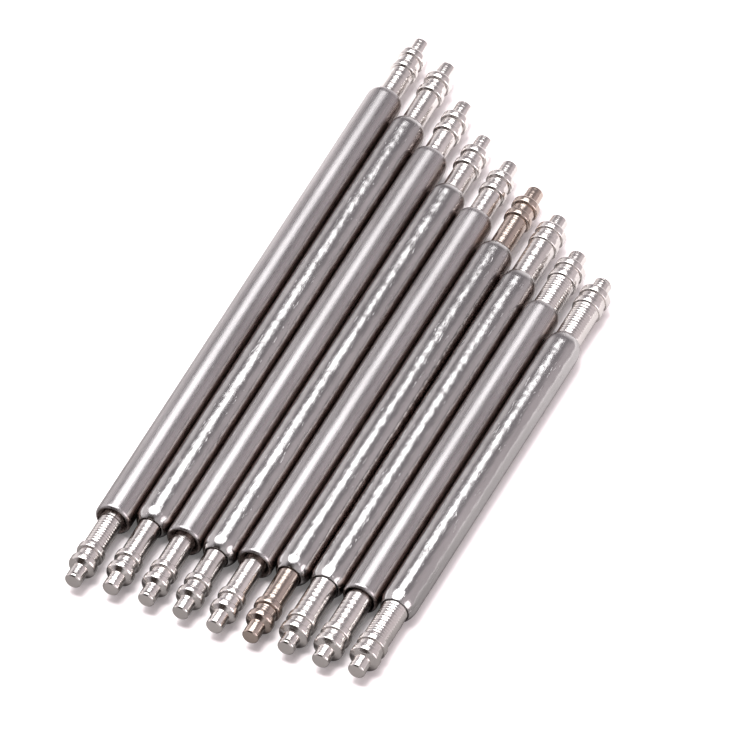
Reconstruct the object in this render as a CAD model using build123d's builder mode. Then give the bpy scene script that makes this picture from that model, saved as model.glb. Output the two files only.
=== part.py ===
from build123d import *
import os

# A set of nine spring bars for watch straps, lying side by side with their near tips in a line.
# Bar 1, on the left at -X, is the longest, and each next bar's tube is one step shorter.
# The bars run along Y and rest on Z = 0. Their sizes and places are in millimetres.

# The row of bars
longest_tube = 21.5
tube_step = 1.0
bar_gap = 0.01

# How far each bar's near tip is set back from the front of the row, bar 1 first
row_setback = 0.2
setback_shares = (0.0, 0.95, 1.0, 0.65, 0.05, 0.4, 0.5, 0.15, 0.45)

# The shank that each pin shows between the tube and its first flange, bar 1 first
shank_reach = 1.65
near_reach_shares = (0.91, 0.92, 0.83, 0.76, 0.95, 0.91, 1.0, 1.0, 0.98)
far_reach_shares = (0.78, 0.86, 0.68, 0.68, 0.72, 0.86, 1.0, 0.88, 0.98)

# Which bars have stout pins, a short dome with a mouth that opens in a cone, turned rings and a grooved tip
stout_bars = (7, 8, 9)
open_mouth_bars = (1, 3, 5, 8)
ringed_pins = ("bar_1_near_pin", "bar_9_near_pin", "bar_8_far_pin", "bar_9_far_pin")
grooved_pins = ("bar_1_near_pin", "bar_3_near_pin", "bar_7_near_pin", "bar_9_far_pin")

# Tube, with its ends crimped in over the pins
tube_diameter = 1.25
tube_wall = 0.1
crimp_length = 0.45
open_dome_length = 0.24
lip_length = 0.16
lip_width = 0.03
mouth_clearance = 0.025
mouth_cone_width = 0.06
mouth_cone_depth = 0.08

# Pins: slim ones, and the values that differ on stout ones
slim_shank = 0.78
stout_shank = 0.92
slim_flange = 0.95
stout_flange = 1.04
slim_tip = 0.58
stout_tip = 0.6
slim_tip_length = 0.6
stout_tip_length = 0.52
slim_neck_length = 0.32
stout_neck_length = 0.26
flange_width = 0.28
rim_round_share = 0.8
shoulder_length = 0.1
tip_chamfer = 0.05

# Fine turned rings on a shank, and the groove near a tip's end
ring_pitch = 0.17
ring_width = 0.06
ring_depth = 0.02
groove_setback = 0.14
groove_width = 0.06
groove_depth = 0.03

# The pin's retaining collar behind the crimp, and the spigot that guides the spring
collar_clearance = 0.02
collar_length = 0.8
spigot_diameter = 0.56
spigot_length = 0.8
stop_gap = 0.05

# Spring, whose round wire has a many-sided section
spring_wire = 0.16
wire_sides = 16
spring_clearance = 0.02
spring_pitch = 0.8
spring_end_gap = 0.03

tube_radius = tube_diameter / 2
bore_radius = tube_radius - tube_wall
bar_pitch = tube_diameter + bar_gap
bar_total = len(setback_shares)


def point_ahead(plane, distance):
    """The point on a plane's Y axis at this distance from its origin."""
    return plane.origin + plane.y_dir * distance


def notches(start, end, radius, pitch, width, depth):
    """Outline points of V notches cut in a cylinder between two distances, evenly spaced."""
    count = int((end - start - width) / pitch)
    points = []
    for place in range(1, count + 1):
        middle = start + place * (end - start) / (count + 1)
        points += [(radius, middle - width / 2), (radius - depth, middle), (radius, middle + width / 2)]
    return points


class Pin:
    """Sizes of one pin, and its outline measured outwards from the end of the tube."""

    def __init__(self, name, stout, reach):
        self.name = name
        self.reach = reach
        self.shank = (stout_shank if stout else slim_shank) / 2
        self.flange = (stout_flange if stout else slim_flange) / 2
        self.tip = (stout_tip if stout else slim_tip) / 2
        self.tip_length = stout_tip_length if stout else slim_tip_length
        self.neck_length = stout_neck_length if stout else slim_neck_length
        self.travel = reach - stop_gap
        self.second_flange = reach + flange_width + self.neck_length
        self.tip_start = self.second_flange + flange_width + shoulder_length
        self.end = self.tip_start + self.tip_length

    def outline(self):
        collar = bore_radius - collar_clearance
        collar_front = -crimp_length - collar_clearance
        collar_back = collar_front - collar_length
        spigot = spigot_diameter / 2
        points = [(0, collar_back - spigot_length), (spigot, collar_back - spigot_length)]
        points += [(spigot, collar_back), (collar, collar_back), (collar, collar_front)]
        points += [(self.shank, collar_front)]
        if self.name in ringed_pins:
            points += notches(0, self.reach, self.shank, ring_pitch, ring_width, ring_depth)
        for start in (self.reach, self.second_flange):
            points += [(self.shank, start), (self.flange, start), (self.flange, start + flange_width)]
            if start == self.reach:
                points += [(self.shank, start + flange_width)]
        points += [(self.tip, self.tip_start)]
        if self.name in grooved_pins:
            middle = self.end - groove_setback
            points += [(self.tip, middle - groove_width / 2), (self.tip - groove_depth, middle)]
            points += [(self.tip, middle + groove_width / 2)]
        points += [(self.tip, self.end - tip_chamfer), (self.tip - tip_chamfer, self.end), (0, self.end)]
        return points

    def make(self, plane):
        """Turn the outline about the plane's Y axis, with the flanges' rims rounded."""
        with BuildPart() as pin:
            with BuildSketch(plane) as half:
                with BuildLine():
                    Polyline(*self.outline(), close=True)
                make_face()
                rims = half.vertices().filter_by_position(Axis.X, self.flange, self.flange)
                fillet(rims, radius=rim_round_share * (self.flange - self.shank))
            revolve(axis=Axis(plane.origin, plane.y_dir))
        pin.part.label = self.name
        return pin.part


def make_tube(label, plane, length, shank, open_mouth):
    """A thin tube about the plane's Y axis, centred on its origin, with both ends domed in over a shank."""
    half_length = length / 2
    dome_start = half_length - (open_dome_length if open_mouth else crimp_length)
    crimp_start = half_length - crimp_length
    throat = shank + mouth_clearance
    mouth = throat + (mouth_cone_width if open_mouth else 0)
    with BuildPart() as tube:
        with BuildSketch(plane):
            with BuildLine():
                side = Line((tube_radius, 0), (tube_radius, dome_start))
                dome = TangentArc(side @ 1, (mouth + lip_width, half_length), tangent=side % 1)
                lip = Line(dome @ 1, (mouth, half_length))
                if open_mouth:
                    lip = Line(lip @ 1, (throat, half_length - mouth_cone_depth))
                Polyline(
                    lip @ 1,
                    (throat, half_length - lip_length),
                    (bore_radius, crimp_start),
                    (bore_radius, 0),
                    side @ 0,
                )
            make_face()
            mirror(about=Plane.XZ)
        revolve(axis=Axis(plane.origin, plane.y_dir))
    tube.part.label = label
    return tube.part


def make_spring(label, plane, length):
    """An open helical spring about the plane's Y axis, centred on its origin."""
    coil_radius = bore_radius - spring_clearance - spring_wire / 2
    height = length - spring_wire
    with BuildPart() as spring:
        with BuildLine() as coil:
            Helix(
                pitch=spring_pitch,
                height=height,
                radius=coil_radius,
                center=point_ahead(plane, -height / 2),
                direction=plane.y_dir,
            )
        with BuildSketch(Plane(origin=coil.edges()[0] @ 0, z_dir=coil.edges()[0] % 0)):
            RegularPolygon(spring_wire / 2, wire_sides)
        sweep(path=coil.edges()[0], is_frenet=True)
    spring.part.label = label
    return spring.part


def pin_row(side, reach_shares):
    """The pins on one side of the row, bar 1 first."""
    return [
        Pin(f"bar_{number}_{side}_pin", number in stout_bars, shank_reach * share)
        for number, share in enumerate(reach_shares, start=1)
    ]


near_pins = pin_row("near", near_reach_shares)
far_pins = pin_row("far", far_reach_shares)

# The row is centred on its longest bar, whose two tips are the front and the back of the row
row_front = -(near_pins[0].end + longest_tube + far_pins[0].end) / 2


def make_bar(number):
    """One spring bar: its tube, its spring and its near and far pins."""
    place = number - 1
    near = near_pins[place]
    far = far_pins[place]
    tube_length = longest_tube - tube_step * place
    x = (place - (bar_total - 1) / 2) * bar_pitch
    near_end = row_front + row_setback * setback_shares[place] + near.end
    far_end = near_end + tube_length

    tube_plane = Plane(origin=(x, (near_end + far_end) / 2, tube_radius))
    near_plane = Plane(origin=(x, near_end, tube_radius), x_dir=(-1, 0, 0), z_dir=(0, 0, 1))
    far_plane = Plane(origin=(x, far_end, tube_radius))
    pin_depth = crimp_length + collar_clearance + collar_length + spring_end_gap

    print(
        f"bar {number}: x {x:.3f}, tube y {near_end:.3f} to {far_end:.3f},",
        f"tips y {near_end - near.end:.3f} to {far_end + far.end:.3f},",
        f"travel {near.travel:.3f} and {far.travel:.3f}",
    )
    return [
        make_tube(f"bar_{number}_tube", tube_plane, tube_length, near.shank, number in open_mouth_bars),
        make_spring(f"bar_{number}_spring", tube_plane, tube_length - 2 * pin_depth),
        near.make(near_plane),
        far.make(far_plane),
    ]


os.makedirs("parts", exist_ok=True)
for bar_number in range(1, bar_total + 1):
    for finished in make_bar(bar_number):
        export_step(finished, f"parts/{finished.label}.step")
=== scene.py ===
import math

import bmesh
import bpy
from mathutils import Matrix, Vector


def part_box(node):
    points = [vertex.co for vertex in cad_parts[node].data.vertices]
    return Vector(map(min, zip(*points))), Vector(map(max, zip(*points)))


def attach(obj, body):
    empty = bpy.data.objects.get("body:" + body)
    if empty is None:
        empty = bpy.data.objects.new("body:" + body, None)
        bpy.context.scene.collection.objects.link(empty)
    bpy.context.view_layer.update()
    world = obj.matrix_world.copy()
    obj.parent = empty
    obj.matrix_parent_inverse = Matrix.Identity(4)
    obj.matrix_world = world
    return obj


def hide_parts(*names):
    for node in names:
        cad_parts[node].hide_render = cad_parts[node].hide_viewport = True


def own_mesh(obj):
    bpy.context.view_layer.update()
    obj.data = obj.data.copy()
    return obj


bl_info = {
    "name": "Spring Bar Set",
    "version": (1, 0, 0),
    "blender": (4, 5, 0),
    "location": "3D View > Sidebar > Spring Bars",
    "description": "Dresses a packed row of nine spring bars: crimped tubes, turned pins and coil springs in steel",
    "category": "Object",
}

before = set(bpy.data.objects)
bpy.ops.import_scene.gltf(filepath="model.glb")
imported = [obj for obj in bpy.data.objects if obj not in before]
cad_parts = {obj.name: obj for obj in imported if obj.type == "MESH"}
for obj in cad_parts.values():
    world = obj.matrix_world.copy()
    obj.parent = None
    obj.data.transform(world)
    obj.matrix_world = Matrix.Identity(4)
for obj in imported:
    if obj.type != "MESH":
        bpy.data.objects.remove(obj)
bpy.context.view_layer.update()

# The shapes are worked out in millimetres and scaled to metres when they are placed
MM = 0.001
BARS = range(1, 10)
STOUT_BARS = (7, 8, 9)
OPEN_MOUTH_BARS = (1, 3, 5, 8)
WARM_BARS = (6,)
RINGED_PINS = ("bar_1_near", "bar_9_near", "bar_8_far", "bar_9_far")
GROOVED_PINS = ("bar_1_near", "bar_3_near", "bar_7_near", "bar_9_far")
SIDES = ("near", "far")
BAR_AXIS = Vector((0, 1, 0))

# Faces that meet at more than this angle keep a sharp edge between them
SHARP_ANGLE = math.radians(40)

# Each steel's roughness, with what a scratch adds to it, its grain and, on the pins, the lathe tool's rings.
# Counts are per metre and heights are in metres.
PIN_GRAIN = {"across": 9000.0, "along": 5000.0, "scratches": 0.3, "depth": 6e-7, "waves": 3e-6}
FINISHES = {
    "satin": {
        "roughness": {"low": 0.24, "high": 0.32, "scratch": 0.1},
        "grain": {"across": 24000.0, "along": 900.0, "scratches": 0.25, "depth": 8e-7, "waves": 5e-7},
    },
    "drawn": {
        "roughness": {"low": 0.13, "high": 0.22, "scratch": 0.15},
        "grain": {"across": 20000.0, "along": 2600.0, "scratches": 0.5, "depth": 2.8e-6, "waves": 1.4e-5},
    },
    "bright": {
        "roughness": {"low": 0.13, "high": 0.22, "scratch": 0.1},
        "grain": PIN_GRAIN,
        "rings": {"count": 8000.0, "depth": 1.4e-5},
    },
    "warm": {
        "roughness": {"low": 0.13, "high": 0.2, "scratch": 0.1},
        "grain": PIN_GRAIN,
        "rings": {"count": 9000.0, "depth": 1e-5},
    },
    "wire": {
        "roughness": {"low": 0.22, "high": 0.34, "scratch": 0.1},
        "grain": {"across": 12000.0, "along": 12000.0, "scratches": 0.4, "depth": 8e-7, "waves": 1e-6},
    },
}

# The part of the grain's noise that sets the roughness
GRAIN_RANGE = (0.3, 0.7)

# Scratches are longer than the grain. Their noise has to pass a limit, which falls as the amount rises.
SCRATCH_STRETCH = (0.5, 0.6, 0.5)
SCRATCH_LIMITS = (0.74, 0.54)
SCRATCH_SOFTNESS = 0.08
SCRATCH_HEIGHT = -1.5

# Counts per metre of the dull patches, the slow waves and the wander of the lathe tool's rings
PATCH_COUNTS = (900.0, 260.0, 900.0)
PATCH_RANGE = (0.35, 0.68)
WAVE_COUNTS = (3600.0, 1900.0, 3600.0)
RING_WANDER = 300.0

# Where the painted shade between the tubes starts and is full, as shares of the tube's radius from its axis, and the
# same for the painted shade inside a mouth, as shares of the mouth's radius
CREVICE_SHADE_SHARES = (0.74, 0.9)
MOUTH_SHADE_SHARES = (1.07, 1.0)

# The studio's walls, each with the axis of the direction seen, where it starts and is full, and its colour
OVERHEAD = (0.34, 0.31, 0.325)
WALLS = (
    ("X", (-0.58, -0.76), (1.0, 0.94, 0.95)),
    ("X", (0.36, 0.58), (0.70, 0.63, 0.65)),
    ("Y", (0.86, 0.98), (1.3, 1.24, 1.25)),
)
FRONT_EDGE = (-0.25, -0.6)
BEHIND_CAMERA = (0.045, 0.035, 0.03)
FRONT_WALLS = (
    ("X", (0.05, 0.3), (0.74, 0.7, 0.71)),
    ("X", (-0.5, -0.62), OVERHEAD),
)
BACKDROP = (1.1, 1.1, 1.1)

# The floor in metres: its half size, where the painted shade in front of the row, as the steel reflects the floor,
# changes to the far floor, and at what distance from the row that fades to one even mix
FLOOR_HALF_SIZE = 2.0
FLOOR_CHANGE = (-0.012, 0.02)
FLOOR_FADE = (0.03, 0.1)
FADED_FLOOR_SHARE = 0.45

# The directions that the lamps shine from, and the range that the camera sees in metres
KEY_DIRECTION = (-0.15, -0.02, 1)
SOFTBOX_DIRECTION = (-0.2, 0.2, 0.956)
CARD_DIRECTION = (0.93, -0.11, 0.34)
CARD_COLOUR = (1, 0.92, 0.94)
CAMERA_RANGE = (0.01, 10)


def length(name, description, millimetres):
    """A size that a user may change, shown as a length and given here in millimetres."""
    return bpy.props.FloatProperty(
        name=name, description=description, default=millimetres * MM, min=0, precision=6, unit="LENGTH"
    )


def share(name, description, default):
    """A number from 0 to 1 that a user may change."""
    return bpy.props.FloatProperty(
        name=name, description=description, default=default, min=0, max=1, subtype="FACTOR"
    )


def tint(name, description, default):
    """A linear colour that a user may change."""
    return bpy.props.FloatVectorProperty(
        name=name, description=description, default=default, size=3, min=0, max=1, subtype="COLOR"
    )


def count(name, description, default, least):
    """A whole number that a user may change."""
    return bpy.props.IntProperty(name=name, description=description, default=default, min=least)


class TubeSizes(bpy.types.PropertyGroup):
    wall: length("Wall", "Thickness of the tube's steel", 0.1)
    crimp_length: length("Crimp length", "How much of each end closes in over the pin", 0.45)
    near_open_dome: length("Near open dome", "Rounded length at the near end of a tube with an open mouth", 0.12)
    far_open_dome: length("Far open dome", "Rounded length at the far end of a tube with an open mouth", 0.26)
    open_mouth: length("Open mouth", "Diameter at the outside of an open mouth", 1.06)
    lip_width: length("Lip width", "Flat ring left round the mouth", 0.03)
    lip_round: length("Lip round", "Rounding of the mouth's edges", 0.012)
    mouth_clearance: length("Mouth clearance", "Gap between the mouth and the shank that slides in it", 0.025)
    cone_depth: length("Cone depth", "How deep an open mouth's cone reaches", 0.12)
    lip_length: length("Lip length", "Length of the narrow throat behind the mouth", 0.16)
    turn_steps: count("Turn steps", "Sides round every turned piece", 96, 24)
    dome_steps: count("Dome steps", "Rings along each domed end", 10, 3)


class PinSizes(bpy.types.PropertyGroup):
    slim_shank: length("Slim shank", "Shank diameter of a slim pin", 0.78)
    slim_flange: length("Slim flange", "Flange diameter of a slim pin", 0.95)
    slim_tip: length("Slim tip", "Tip diameter of a slim pin", 0.58)
    slim_tip_length: length("Slim tip length", "Length of a slim pin's tip", 0.6)
    slim_neck: length("Slim neck", "Gap between a slim pin's flanges", 0.32)
    stout_shank: length("Stout shank", "Shank diameter of a stout pin", 0.92)
    stout_flange: length("Stout flange", "Flange diameter of a stout pin", 1.04)
    stout_tip: length("Stout tip", "Tip diameter of a stout pin", 0.6)
    stout_tip_length: length("Stout tip length", "Length of a stout pin's tip", 0.52)
    stout_neck: length("Stout neck", "Gap between a stout pin's flanges", 0.26)
    flange_width: length("Flange width", "Width of both flanges along the bar", 0.28)
    rim_share: share("Rim round share", "How much of a flange's height its rounded rim takes", 0.75)
    shoulder: length("Shoulder length", "Cone between the outer flange and the tip", 0.1)
    tip_chamfer: length("Tip chamfer", "Bevel round the end of the tip", 0.05)
    edge_round: length("Edge round", "Small rounding of the tip's edges", 0.02)
    ring_pitch: length("Ring pitch", "Spacing of the turned rings on a ringed shank", 0.115)
    ring_width: length("Ring width", "Width of a turned ring", 0.07)
    ring_depth: length("Ring depth", "Depth of a turned ring", 0.012)
    groove_setback: length("Groove setback", "Distance of the tip's groove from its end", 0.14)
    groove_width: length("Groove width", "Width of the tip's groove", 0.07)
    groove_depth: length("Groove depth", "Depth of the tip's groove", 0.03)
    collar_gap: length("Collar gap", "Clearance between the hidden collar and the tube", 0.02)
    collar_length: length("Collar length", "Length of the hidden collar", 0.8)
    spigot: length("Spigot", "Diameter of the hidden spigot inside the spring", 0.56)
    spigot_length: length("Spigot length", "Length of the hidden spigot", 0.8)


class SpringSizes(bpy.types.PropertyGroup):
    wire: length("Wire", "Diameter of the spring's wire", 0.16)
    pitch: length("Pitch", "Distance from one coil to the next", 0.8)
    bore_gap: length("Bore gap", "Clearance between the coils and the tube's bore", 0.02)
    wire_sides: count("Wire sides", "Sides round the wire", 12, 6)
    coil_steps: count("Coil steps", "Steps round one coil", 28, 8)


class SteelColours(bpy.types.PropertyGroup):
    satin: tint("Satin tube", "Steel of the smooth tubes", (0.50, 0.482, 0.487))
    drawn: tint("Drawn tube", "Steel of the drawn, grainy tubes", (0.55, 0.54, 0.54))
    bright: tint("Bright pin", "Steel of the bright pins", (0.84, 0.805, 0.785))
    warm: tint("Warm pin", "Brown tinted steel of the warm pins", (0.60, 0.505, 0.45))
    wire: tint("Spring wire", "Steel of the springs", (0.50, 0.50, 0.51))
    # Painted shade: the colour that the tubes' facing flanks and the insides of their mouths darken to
    crevice: tint("Crevice", "Dark stain between the tubes and inside their mouths", (0.27, 0.22, 0.205))
    dull_share: share("Dull share", "How dark the dull patches are against clean steel", 0.84)


class StageSettings(bpy.types.PropertyGroup):
    azimuth: bpy.props.FloatProperty(
        name="Azimuth", description="Camera's turn round the row", default=math.radians(24.5), subtype="ANGLE"
    )
    elevation: bpy.props.FloatProperty(
        name="Elevation", description="Camera's height above the horizon", default=math.radians(45), subtype="ANGLE"
    )
    lens: bpy.props.FloatProperty(name="Lens", description="Focal length in millimetres", default=1500, min=1)
    frame_width: length("Frame width", "Width of the picture at the row", 24.54)
    aim: bpy.props.FloatVectorProperty(
        name="Aim", description="Point at the middle of the picture", default=(-0.00021, -0.000607, 0.000197),
        size=3, precision=6, subtype="TRANSLATION",
    )
    key_power: bpy.props.FloatProperty(
        name="Key power", description="Strength of the overhead lamp that throws the shadows", default=2.5
    )
    key_spread: bpy.props.FloatProperty(
        name="Key spread", description="Apparent size of the key lamp", default=math.radians(26), subtype="ANGLE"
    )
    softbox_power: bpy.props.FloatProperty(
        name="Softbox power", description="Strength of the wide lamp that shows in the steel", default=2.7
    )
    softbox_spread: bpy.props.FloatProperty(
        name="Softbox spread", description="Apparent size of the softbox", default=math.radians(60), subtype="ANGLE"
    )
    card_power: bpy.props.FloatProperty(
        name="Card power", description="Strength of the small side lamp", default=0.8
    )
    card_spread: bpy.props.FloatProperty(
        name="Card spread", description="Apparent size of the side lamp", default=math.radians(40), subtype="ANGLE"
    )
    floor_colour: tint("Floor colour", "Paint of the floor", (0.83, 0.77, 0.782))
    # Painted shade: the floor in front of the row, as the steel reflects it, is far darker than its paint
    near_floor_in_steel: tint(
        "Near floor in steel", "Floor in front of the row as the steel reflects it", (0.2, 0.19, 0.187)
    )
    far_floor_in_steel: tint(
        "Far floor in steel", "Floor behind the row as the steel reflects it", (0.8, 0.77, 0.77)
    )
    floor_glow: share("Floor glow", "Extra white that the camera sees on the floor", 0.11)


class Bar:
    """Where one bar lies and how long its parts are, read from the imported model, in millimetres."""

    def __init__(self, number):
        tube_low, tube_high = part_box(f"bar_{number}_tube")
        spring_low, spring_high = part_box(f"bar_{number}_spring")
        near_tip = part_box(f"bar_{number}_near_pin")[0].y
        far_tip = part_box(f"bar_{number}_far_pin")[1].y
        self.number = number
        self.centre = (tube_low + tube_high) / 2 / MM
        self.radius = (tube_high.x - tube_low.x) / 2 / MM
        self.half_length = (tube_high.y - tube_low.y) / 2 / MM
        self.pin_ends = {"near": (tube_low.y - near_tip) / MM, "far": (far_tip - tube_high.y) / MM}
        self.spring_half = (spring_high.y - spring_low.y) / 2 / MM
        self.stout = number in STOUT_BARS


def pin_size(pins, bar, part):
    """The stout or slim size of one part of a bar's pins, in millimetres."""
    return getattr(pins, ("stout_" if bar.stout else "slim_") + part) / MM


def draw_line(bm, points, start=None):
    """Join (radius, Y) points by edges, from the start vertex if there is one. Returns the last vertex."""
    for radius, y in points:
        point = bm.verts.new((radius, y, 0))
        if start is not None:
            bm.edges.new((start, point))
        start = point
    return start


def draw_arc(bm, start, centre, angle, steps):
    """Carry an outline on from its start vertex round a centre. Returns the last vertex."""
    swept = bmesh.ops.spin(
        bm, geom=[start], cent=(centre[0], centre[1], 0), axis=(0, 0, 1), angle=angle, steps=steps, use_merge=False
    )
    return next(item for item in swept["geom_last"] if isinstance(item, bmesh.types.BMVert))


def turn_outline(bm, steps):
    """Turn the drawn outline once about the Y axis."""
    bmesh.ops.spin(
        bm, geom=bm.verts[:] + bm.edges[:], cent=(0, 0, 0), axis=BAR_AXIS, angle=math.tau, steps=steps, use_merge=True
    )
    bmesh.ops.remove_doubles(bm, verts=bm.verts, dist=1e-5)
    bmesh.ops.recalc_face_normals(bm, faces=bm.faces)


def rings_at(bm, radius, y, slack=1e-4):
    """The edges that run round the axis at this radius and Y."""
    return [
        edge
        for edge in bm.edges
        if all(abs(v.co.y - y) < slack and abs(math.hypot(v.co.x, v.co.z) - radius) < slack for v in edge.verts)
    ]


def round_rings(bm, places, offset, segments):
    """Round the ring-shaped edges at these (radius, Y) places."""
    edges = [edge for radius, y in places for edge in rings_at(bm, radius, y)]
    bmesh.ops.bevel(
        bm, geom=edges, offset=offset, offset_type="OFFSET", affect="EDGES", segments=segments, profile=0.5,
        material=-1, clamp_overlap=True,
    )


def place_piece(bm, name, bar, offset_y, flipped, material):
    """Scale a piece to metres, put it on its bar's axis and make it an object with smooth steel faces."""
    if flipped:
        bmesh.ops.rotate(bm, verts=bm.verts, cent=(0, 0, 0), matrix=Matrix.Rotation(math.pi, 3, "Z"))
    bmesh.ops.translate(bm, verts=bm.verts, vec=bar.centre + BAR_AXIS * offset_y)
    bmesh.ops.scale(bm, verts=bm.verts, vec=(MM, MM, MM))
    for face in bm.faces:
        face.smooth = True
    for edge in bm.edges:
        edge.smooth = len(edge.link_faces) == 2 and edge.calc_face_angle(0) < SHARP_ANGLE
    mesh = bpy.data.meshes.new(name)
    bm.to_mesh(mesh)
    bm.free()
    mesh.materials.append(material)
    piece = bpy.data.objects.new(name, mesh)
    bpy.context.scene.collection.objects.link(piece)
    even = piece.modifiers.new("Even Normals", "WEIGHTED_NORMAL")
    even.keep_sharp = True
    return piece


def draw_tube_end(bm, sizes, bar, side, dome, throat, mouth):
    """Draw half of a tube's wall, from its middle over the dome to the mouth and back inside. Returns its rings."""
    crimp = sizes.crimp_length / MM
    lip = mouth + sizes.lip_width / MM
    bore = bar.radius - sizes.wall / MM
    end = bar.half_length
    drop = bar.radius - lip
    dome_radius = (dome**2 + drop**2) / (2 * drop)
    dome_angle = math.asin(dome / dome_radius)
    start = draw_line(bm, [(bar.radius, 0), (bar.radius, side * (end - dome))])
    centre = (bar.radius - dome_radius, side * (end - dome))
    start = draw_arc(bm, start, centre, side * dome_angle, sizes.dome_steps)
    inside = [(mouth, end)]
    if mouth > throat:
        inside += [(throat, end - sizes.cone_depth / MM)]
    inside += [(throat, end - sizes.lip_length / MM), (bore, end - crimp), (bore, 0)]
    draw_line(bm, [(radius, side * y) for radius, y in inside], start)
    return [(lip, side * end), (mouth, side * end)]


def make_tube(sizes, pins, bar, material):
    """A bar's tube, with both ends domed in and a mouth that the pin's shank slides through."""
    throat = pin_size(pins, bar, "shank") / 2 + sizes.mouth_clearance / MM
    mouth = throat
    domes = {-1: sizes.crimp_length / MM, 1: sizes.crimp_length / MM}
    if bar.number in OPEN_MOUTH_BARS:
        mouth = sizes.open_mouth / MM / 2
        domes = {-1: sizes.near_open_dome / MM, 1: sizes.far_open_dome / MM}
    bm = bmesh.new()
    rings = []
    for side, dome in domes.items():
        rings += draw_tube_end(bm, sizes, bar, side, dome, throat, mouth)
    turn_outline(bm, sizes.turn_steps)
    round_rings(bm, rings, sizes.lip_round / MM, 3)
    piece = place_piece(bm, f"bar_{bar.number}_steel_tube", bar, 0, False, material)
    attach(piece, f"bar_{bar.number}")
    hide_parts(f"bar_{bar.number}_tube")


def make_pin(sizes, tube, bar, side, material):
    """One turned pin: spigot, collar, shank, two flanges with rounded rims, and the tip."""
    name = f"bar_{bar.number}_{side}"
    shank, flange, tip = (pin_size(sizes, bar, part) / 2 for part in ("shank", "flange", "tip"))
    width = sizes.flange_width / MM
    collar = bar.radius - tube.wall / MM - sizes.collar_gap / MM
    collar_front = -(tube.crimp_length + sizes.collar_gap) / MM
    collar_back = collar_front - sizes.collar_length / MM
    spigot = sizes.spigot / MM / 2
    spigot_back = collar_back - sizes.spigot_length / MM
    chamfer = sizes.tip_chamfer / MM
    end = bar.pin_ends[side]
    tip_start = end - pin_size(sizes, bar, "tip_length")
    outer_flange = tip_start - sizes.shoulder / MM - width
    inner_flange = outer_flange - pin_size(sizes, bar, "neck") - width

    outline = [(0, spigot_back), (spigot, spigot_back), (spigot, collar_back), (collar, collar_back)]
    outline += [(collar, collar_front), (shank, collar_front)]
    if name in RINGED_PINS:
        total = int((inner_flange - sizes.ring_width / MM) / (sizes.ring_pitch / MM))
        for ring in range(1, total + 1):
            middle = ring * inner_flange / (total + 1)
            half = sizes.ring_width / MM / 2
            outline += [(shank, middle - half), (shank - sizes.ring_depth / MM, middle), (shank, middle + half)]
    for place in (inner_flange, outer_flange):
        outline += [(shank, place), (flange, place), (flange, place + width)]
        if place == inner_flange:
            outline += [(shank, place + width)]
    outline += [(tip, tip_start)]
    if name in GROOVED_PINS:
        middle = end - sizes.groove_setback / MM
        half = sizes.groove_width / MM / 2
        outline += [(tip, middle - half), (tip - sizes.groove_depth / MM, middle), (tip, middle + half)]
    outline += [(tip, end - chamfer), (tip - chamfer, end), (0, end)]

    bm = bmesh.new()
    draw_line(bm, outline)
    turn_outline(bm, tube.turn_steps)
    rims = [(flange, place + edge) for place in (inner_flange, outer_flange) for edge in (0, width)]
    round_rings(bm, rims, sizes.rim_share * (flange - shank), 6)
    round_rings(bm, [(tip, end - chamfer), (tip - chamfer, end)], sizes.edge_round / MM, 3)
    sign = -1 if side == "near" else 1
    piece = place_piece(bm, f"{name}_steel_pin", bar, sign * bar.half_length, side == "near", material)
    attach(piece, f"{name}_pin")
    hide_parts(f"{name}_pin")


def make_half_spring(sizes, tube, bar, side, material):
    """Half of a bar's coil spring, coiled from the bar's middle towards one end."""
    wire = sizes.wire / MM / 2
    pitch = sizes.pitch / MM
    coil = bar.radius - tube.wall / MM - sizes.bore_gap / MM - wire
    turns = (bar.spring_half - wire) / pitch
    steps = round(turns * sizes.coil_steps)
    lead = math.atan(pitch / (math.tau * coil))
    bm = bmesh.new()
    bmesh.ops.create_circle(bm, cap_ends=True, radius=wire, segments=sizes.wire_sides)
    bmesh.ops.rotate(bm, verts=bm.verts, cent=(0, 0, 0), matrix=Matrix.Rotation(lead, 3, "X"))
    bmesh.ops.translate(bm, verts=bm.verts, vec=(coil, 0, 0))
    bmesh.ops.spin(
        bm, geom=bm.verts[:] + bm.edges[:] + bm.faces[:], cent=(0, 0, 0), axis=BAR_AXIS,
        dvec=(0, turns * pitch / steps, 0), angle=turns * math.tau, steps=steps,
    )
    bmesh.ops.recalc_face_normals(bm, faces=bm.faces)
    name = f"bar_{bar.number}_{side}"
    piece = place_piece(bm, f"{name}_half_spring", bar, 0, side == "near", material)
    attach(piece, f"bar_{bar.number}")
    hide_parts(f"bar_{bar.number}_spring")
    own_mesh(piece)


def add_node(tree, kind, inputs=None, **settings):
    """A node with its settings, and its inputs by name: a socket is linked and anything else is its value."""
    made = tree.nodes.new(kind)
    for key, value in settings.items():
        setattr(made, key, value)
    for key, value in (inputs or {}).items():
        if isinstance(value, bpy.types.NodeSocket):
            tree.links.new(value, made.inputs[key])
        else:
            made.inputs[key].default_value = value
    return made


def calculate(tree, operation, *values):
    """A maths node on sockets or numbers."""
    return add_node(tree, "ShaderNodeMath", dict(enumerate(values)), operation=operation).outputs["Value"]


def square(tree, value):
    """A value times itself."""
    return calculate(tree, "MULTIPLY", value, value)


def multiply_vectors(tree, first, second):
    """Two vectors multiplied axis by axis. Either may be a socket."""
    return add_node(tree, "ShaderNodeVectorMath", {0: first, 1: second}, operation="MULTIPLY").outputs["Vector"]


def scaled_place(tree, counts):
    """The Object coordinates multiplied by how often a pattern repeats in a metre, which may be a socket."""
    return multiply_vectors(tree, add_node(tree, "ShaderNodeTexCoord").outputs["Object"], counts)


def noise(tree, vector, detail, roughness=0.6, distortion=0.0):
    """Noise from 0 to 1 on a vector that already has its scale."""
    made = add_node(
        tree, "ShaderNodeTexNoise",
        {"Vector": vector, "Scale": 1.0, "Detail": detail, "Roughness": roughness, "Distortion": distortion},
    )
    return made.outputs["Fac"]


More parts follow.
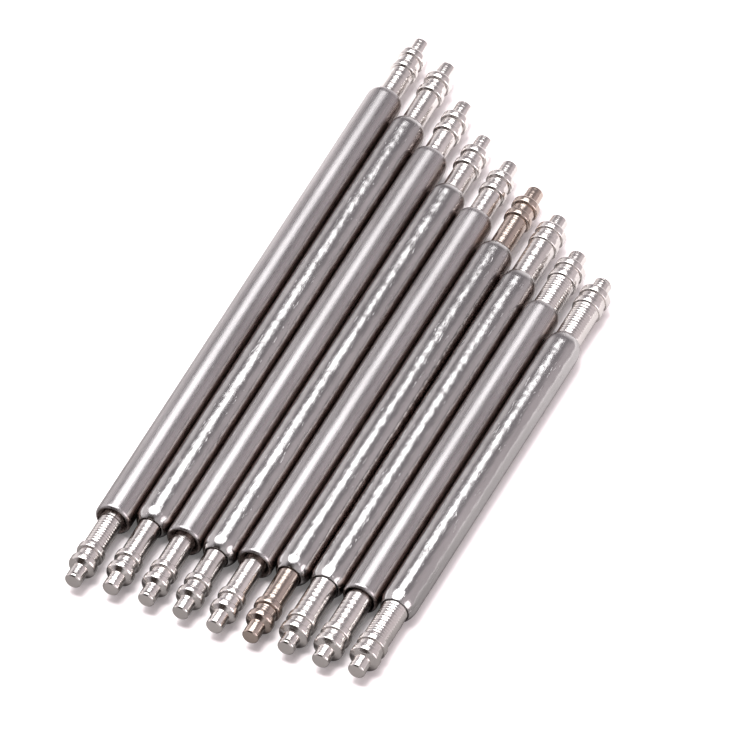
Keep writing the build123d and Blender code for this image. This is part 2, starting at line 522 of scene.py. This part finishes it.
def remap(tree, value, low, high, to_low=0.0, to_high=1.0):
    """A value carried from one range to another, clamped."""
    inputs = {"Value": value, "From Min": low, "From Max": high, "To Min": to_low, "To Max": to_high}
    return add_node(tree, "ShaderNodeMapRange", inputs).outputs["Result"]


def blend_colour(tree, factor, first, second):
    """Mix two colours, either of which may be a socket."""
    first, second = (
        colour if isinstance(colour, bpy.types.NodeSocket) else tuple(colour) + (1.0,) for colour in (first, second)
    )
    mix = add_node(tree, "ShaderNodeMix", {"Factor": factor, 6: first, 7: second}, data_type="RGBA")
    return mix.outputs[2]


def bump(tree, height, distance, under=None):
    """The normal of a bump of this height in metres, laid over another normal if there is one."""
    inputs = {"Height": height, "Strength": 1.0, "Distance": distance}
    if under is not None:
        inputs["Normal"] = under
    return add_node(tree, "ShaderNodeBump", inputs).outputs["Normal"]


def start_group(name, inputs, outputs):
    """A node group with numbers as inputs, by their defaults, and as outputs. Returns it and both its ends."""
    group = bpy.data.node_groups.new(name, "ShaderNodeTree")
    for socket, default in inputs.items():
        group.interface.new_socket(socket, in_out="INPUT", socket_type="NodeSocketFloat").default_value = default
    for socket in outputs:
        group.interface.new_socket(socket, in_out="OUTPUT", socket_type="NodeSocketFloat")
    return group, group.nodes.new("NodeGroupInput").outputs, group.nodes.new("NodeGroupOutput").inputs


def drawn_grain_group():
    """Lengthwise grain, scratches, dull patches and slow waves of worked steel, on Object coordinates."""
    if "Drawn Grain" in bpy.data.node_groups:
        return bpy.data.node_groups["Drawn Grain"]
    group, given, results = start_group(
        "Drawn Grain", {"Across": 22000.0, "Along": 900.0, "Scratch Amount": 0.5},
        ("Grain", "Scratches", "Patches", "Waves"),
    )
    counts = {"X": given["Across"], "Y": given["Along"], "Z": given["Across"]}
    place = scaled_place(group, add_node(group, "ShaderNodeCombineXYZ", counts).outputs["Vector"])
    limit = remap(group, given["Scratch Amount"], 0.0, 1.0, *SCRATCH_LIMITS)
    softened = calculate(group, "ADD", limit, SCRATCH_SOFTNESS)
    scratched = noise(group, multiply_vectors(group, place, SCRATCH_STRETCH), 2.0, 0.7, 0.3)
    patched = noise(group, scaled_place(group, PATCH_COUNTS), 3.0)
    group.links.new(noise(group, place, 3.0), results["Grain"])
    group.links.new(remap(group, scratched, limit, softened), results["Scratches"])
    group.links.new(remap(group, patched, *PATCH_RANGE), results["Patches"])
    group.links.new(noise(group, scaled_place(group, WAVE_COUNTS), 1.0, 0.4), results["Waves"])
    return group


def crevice_shade_group():
    """Painted shade where the tubes' flanks face each other and where their mouths turn in, as a mask on Object
    coordinates.
    """
    if "Crevice" in bpy.data.node_groups:
        return bpy.data.node_groups["Crevice"]
    sizes = ("Pitch", "Radius", "Mouth Radius", "Axis Height", "Row Half Width")
    group, given, results = start_group("Crevice", dict.fromkeys(sizes, 0.0), ("Mask",))
    place = add_node(group, "ShaderNodeTexCoord")
    split = add_node(group, "ShaderNodeSeparateXYZ", {"Vector": place.outputs["Object"]})
    x = split.outputs["X"]
    half_pitch = calculate(group, "MULTIPLY", given["Pitch"], 0.5)
    off_axis = calculate(group, "WRAP", x, half_pitch, calculate(group, "MULTIPLY", given["Pitch"], -0.5))
    across = calculate(group, "DIVIDE", calculate(group, "ABSOLUTE", off_axis), given["Radius"])
    inside_row = calculate(group, "LESS_THAN", calculate(group, "ABSOLUTE", x), given["Row Half Width"])
    # Painted shade on the flanks that face a neighbour, only inside the row
    flank = calculate(group, "MULTIPLY", remap(group, across, *CREVICE_SHADE_SHARES), inside_row)
    above = calculate(group, "SUBTRACT", split.outputs["Z"], given["Axis Height"])
    reach = calculate(group, "SQRT", calculate(group, "MULTIPLY_ADD", above, above, square(group, off_axis)))
    # Painted shade inside a mouth, fading out just past its radius
    inner = remap(group, calculate(group, "DIVIDE", reach, given["Mouth Radius"]), *MOUTH_SHADE_SHARES)
    group.links.new(calculate(group, "MAXIMUM", flank, inner), results["Mask"])
    return group


def tool_rings_group():
    """Fine uneven rings that a lathe tool leaves round a pin, as a height from 0 to 1."""
    if "Tool Rings" in bpy.data.node_groups:
        return bpy.data.node_groups["Tool Rings"]
    group, given, results = start_group("Tool Rings", {"Ring Count": 16000.0}, ("Height",))
    counts = {"X": RING_WANDER, "Y": given["Ring Count"], "Z": RING_WANDER}
    place = scaled_place(group, add_node(group, "ShaderNodeCombineXYZ", counts).outputs["Vector"])
    group.links.new(noise(group, place, 3.0, 0.55), results["Height"])
    return group


def steel(name, finish, colours, crevice=None):
    """Steel in one of the finishes and in its own colour, with painted crevice shade where its sizes are given."""
    material = bpy.data.materials.new(name)
    material.use_nodes = True
    tree = material.node_tree
    shader = tree.nodes["Principled BSDF"]
    shader.inputs["Metallic"].default_value = 1.0
    roughness, grain, rings = (FINISHES[finish].get(part) for part in ("roughness", "grain", "rings"))
    counts = {"Across": grain["across"], "Along": grain["along"], "Scratch Amount": grain["scratches"]}
    marks = add_node(tree, "ShaderNodeGroup", counts, node_tree=drawn_grain_group()).outputs

    clean = getattr(colours, finish)
    dull = [channel * colours.dull_share for channel in clean]
    paint = blend_colour(tree, marks["Patches"], dull, clean)
    # Painted shade: the steel darkens to the crevice shade colour between the tubes and inside their mouths
    if crevice:
        shading = add_node(tree, "ShaderNodeGroup", crevice, node_tree=crevice_shade_group())
        paint = blend_colour(tree, shading.outputs["Mask"], paint, colours.crevice)
    tree.links.new(paint, shader.inputs["Base Color"])

    base = remap(tree, marks["Grain"], *GRAIN_RANGE, roughness["low"], roughness["high"])
    rough = calculate(tree, "MULTIPLY_ADD", marks["Scratches"], roughness["scratch"], base)
    tree.links.new(rough, shader.inputs["Roughness"])

    normal = bump(tree, marks["Waves"], grain["waves"])
    height = calculate(tree, "MULTIPLY_ADD", marks["Scratches"], SCRATCH_HEIGHT, marks["Grain"])
    normal = bump(tree, height, grain["depth"], normal)
    if rings:
        turned = add_node(tree, "ShaderNodeGroup", {"Ring Count": rings["count"]}, node_tree=tool_rings_group())
        normal = bump(tree, turned.outputs["Height"], rings["depth"], normal)
    tree.links.new(normal, shader.inputs["Normal"])
    return material


class SPRINGBARS_OT_tubes(bpy.types.Operator):
    """Build the nine crimped tubes in satin or drawn steel"""

    bl_idname = "spring_bars.tubes"
    bl_label = "Tubes"

    def execute(self, context):
        scene = context.scene
        tube, pins, colours = scene.spring_bar_tube, scene.spring_bar_pin, scene.spring_bar_colours
        first, second, last = Bar(1), Bar(2), Bar(9)
        row = {
            "Pitch": (second.centre.x - first.centre.x) * MM,
            "Radius": first.radius * MM,
            "Axis Height": first.centre.z * MM,
            "Row Half Width": (last.centre.x + last.radius / 2) * MM,
        }
        closed_mouth = pins.slim_shank / 2 + tube.mouth_clearance
        # Both tube steels carry the painted crevice shade; the open mouths get a wider shaded ring
        satin = steel("Satin Tube Steel", "satin", colours, {**row, "Mouth Radius": tube.open_mouth / 2})
        drawn = steel("Drawn Tube Steel", "drawn", colours, {**row, "Mouth Radius": closed_mouth})
        for number in BARS:
            if number in OPEN_MOUTH_BARS:
                make_tube(tube, pins, Bar(number), satin)
            else:
                make_tube(tube, pins, Bar(number), drawn)
        return {"FINISHED"}


class SPRINGBARS_OT_pins(bpy.types.Operator):
    """Build the eighteen turned pins in bright or warm steel"""

    bl_idname = "spring_bars.pins"
    bl_label = "Pins"

    def execute(self, context):
        scene = context.scene
        tube, pins, colours = scene.spring_bar_tube, scene.spring_bar_pin, scene.spring_bar_colours
        bright = steel("Bright Pin Steel", "bright", colours)
        warm = steel("Warm Pin Steel", "warm", colours)
        for number in BARS:
            for side in SIDES:
                if number in WARM_BARS:
                    make_pin(pins, tube, Bar(number), side, warm)
                else:
                    make_pin(pins, tube, Bar(number), side, bright)
        return {"FINISHED"}


class SPRINGBARS_OT_springs(bpy.types.Operator):
    """Build the nine hidden coil springs, each in a near and a far half"""

    bl_idname = "spring_bars.springs"
    bl_label = "Springs"

    def execute(self, context):
        scene = context.scene
        wire = steel("Spring Wire Steel", "wire", scene.spring_bar_colours)
        for number in BARS:
            for side in SIDES:
                make_half_spring(
                    scene.spring_bar_spring, scene.spring_bar_tube, Bar(number), side, wire
                )
        return {"FINISHED"}


def toward(vector):
    """A turn that makes a lamp or camera, which look along -Z, look from this direction at the origin."""
    return Vector(vector).to_track_quat("Z", "Y")


def add_sun(name, direction, power, spread, colour=(1, 1, 1), shows_in_steel=True):
    """A soft distant lamp that shines from a direction."""
    data = bpy.data.lights.new(name, "SUN")
    data.energy = power
    data.angle = spread
    data.color = colour
    lamp = bpy.data.objects.new(name, data)
    lamp.rotation_mode = "QUATERNION"
    lamp.rotation_quaternion = toward(direction)
    lamp.visible_glossy = shows_in_steel
    bpy.context.scene.collection.objects.link(lamp)


def make_floor(settings):
    """A wide pale floor that keeps the row's shadow, and that the steel reflects with painted shade in front of the
    row.
    """
    bm = bmesh.new()
    bmesh.ops.create_grid(bm, x_segments=1, y_segments=1, size=FLOOR_HALF_SIZE)
    mesh = bpy.data.meshes.new("pale_floor")
    bm.to_mesh(mesh)
    bm.free()
    floor = bpy.data.objects.new("pale_floor", mesh)
    bpy.context.scene.collection.objects.link(floor)
    material = bpy.data.materials.new("Pale Floor")
    material.use_nodes = True
    tree = material.node_tree
    tree.nodes.remove(tree.nodes["Principled BSDF"])
    rays = add_node(tree, "ShaderNodeLightPath").outputs
    place = add_node(tree, "ShaderNodeTexCoord").outputs["Object"]
    split = add_node(tree, "ShaderNodeSeparateXYZ", {"Vector": place})
    distance = add_node(tree, "ShaderNodeVectorMath", {0: place}, operation="LENGTH")
    # Painted shade for glossy rays: the floor turns dark in front of the row, and away from the row it fades to a mid
    # mix
    behind = remap(tree, split.outputs["Y"], *FLOOR_CHANGE)
    behind = remap(tree, distance.outputs["Value"], *FLOOR_FADE, behind, FADED_FLOOR_SHARE)
    in_steel = blend_colour(tree, behind, settings.near_floor_in_steel, settings.far_floor_in_steel)
    colour = blend_colour(tree, rays["Is Glossy Ray"], settings.floor_colour, in_steel)
    paint = add_node(tree, "ShaderNodeBsdfDiffuse", {"Color": colour})
    strength = calculate(tree, "MULTIPLY", rays["Is Camera Ray"], settings.floor_glow)
    glow = add_node(tree, "ShaderNodeEmission", {"Color": (1, 1, 1, 1), "Strength": strength})
    both = add_node(tree, "ShaderNodeAddShader", {0: paint.outputs["BSDF"], 1: glow.outputs["Emission"]})
    tree.links.new(both.outputs["Shader"], tree.nodes["Material Output"].inputs["Surface"])
    mesh.materials.append(material)


def make_studio_air():
    """A plain studio: grey overhead, pale at the sides and the back, dark in front. The camera itself sees white."""
    world = bpy.data.worlds.new("Studio Air")
    bpy.context.scene.world = world
    world.use_nodes = True
    tree = world.node_tree
    place = add_node(tree, "ShaderNodeTexCoord")
    split = add_node(tree, "ShaderNodeSeparateXYZ", {"Vector": place.outputs["Generated"]})

    def lay_walls(colour, walls):
        for axis, edge, wall in walls:
            colour = blend_colour(tree, remap(tree, split.outputs[axis], *edge), colour, wall)
        return colour

    front = lay_walls(BEHIND_CAMERA, FRONT_WALLS)
    walls = lay_walls(OVERHEAD, WALLS + (("Y", FRONT_EDGE, front),))
    rays = add_node(tree, "ShaderNodeLightPath")
    air = blend_colour(tree, rays.outputs["Is Camera Ray"], walls, BACKDROP)
    tree.links.new(air, tree.nodes["Background"].inputs["Color"])


def make_camera(settings):
    """A long lens at the photograph's angle."""
    data = bpy.data.cameras.new("Camera")
    data.lens = settings.lens
    data.clip_start, data.clip_end = CAMERA_RANGE
    camera = bpy.data.objects.new("Camera", data)
    turn, rise = settings.azimuth, settings.elevation
    back = Vector((math.sin(turn) * math.cos(rise), -math.cos(turn) * math.cos(rise), math.sin(rise)))
    distance = settings.frame_width * settings.lens / data.sensor_width
    camera.location = Vector(settings.aim) + back * distance
    camera.rotation_mode = "QUATERNION"
    camera.rotation_quaternion = toward(back)
    bpy.context.scene.collection.objects.link(camera)
    bpy.context.scene.camera = camera


class SPRINGBARS_OT_stage(bpy.types.Operator):
    """Build the pale floor, the studio air, the three lamps and the camera"""

    bl_idname = "spring_bars.stage"
    bl_label = "Stage"

    def execute(self, context):
        settings = context.scene.spring_bar_stage
        make_floor(settings)
        make_studio_air()
        add_sun("Key", KEY_DIRECTION, settings.key_power, settings.key_spread, shows_in_steel=False)
        add_sun("Softbox", SOFTBOX_DIRECTION, settings.softbox_power, settings.softbox_spread)
        add_sun("Side Card", CARD_DIRECTION, settings.card_power, settings.card_spread, CARD_COLOUR)
        make_camera(settings)
        context.scene.view_settings.view_transform = "Standard"
        return {"FINISHED"}


class SPRINGBARS_PT_panel(bpy.types.Panel):
    """Sizes and operators of the spring bar set"""

    bl_idname = "SPRINGBARS_PT_panel"
    bl_label = "Spring Bars"
    bl_space_type = "VIEW_3D"
    bl_region_type = "UI"
    bl_category = "Spring Bars"

    def draw(self, context):
        for label, operator, groups in PANEL_PARTS:
            box = self.layout.box()
            box.label(text=label)
            for group in groups:
                settings = getattr(context.scene, group)
                for prop in settings.bl_rna.properties:
                    if not prop.is_readonly and prop.identifier != "name":
                        box.prop(settings, prop.identifier)
            box.operator(operator)


PANEL_PARTS = (
    ("Tubes", "spring_bars.tubes", ("spring_bar_tube", "spring_bar_colours")),
    ("Pins", "spring_bars.pins", ("spring_bar_pin",)),
    ("Springs", "spring_bars.springs", ("spring_bar_spring",)),
    ("Stage", "spring_bars.stage", ("spring_bar_stage",)),
)

SETTINGS = {
    "spring_bar_tube": TubeSizes,
    "spring_bar_pin": PinSizes,
    "spring_bar_spring": SpringSizes,
    "spring_bar_colours": SteelColours,
    "spring_bar_stage": StageSettings,
}

OPERATORS = (SPRINGBARS_OT_tubes, SPRINGBARS_OT_pins, SPRINGBARS_OT_springs, SPRINGBARS_OT_stage)


def register():
    for group in SETTINGS.values():
        bpy.utils.register_class(group)
    for name, group in SETTINGS.items():
        setattr(bpy.types.Scene, name, bpy.props.PointerProperty(type=group))
    for kind in OPERATORS + (SPRINGBARS_PT_panel,):
        bpy.utils.register_class(kind)


def unregister():
    for kind in reversed(OPERATORS + (SPRINGBARS_PT_panel,)):
        bpy.utils.unregister_class(kind)
    for name, group in SETTINGS.items():
        delattr(bpy.types.Scene, name)
        bpy.utils.unregister_class(group)


def main():
    register()
    bpy.ops.spring_bars.tubes()
    bpy.ops.spring_bars.pins()
    bpy.ops.spring_bars.springs()
    bpy.ops.spring_bars.stage()


if __name__ == "__main__":
    main()
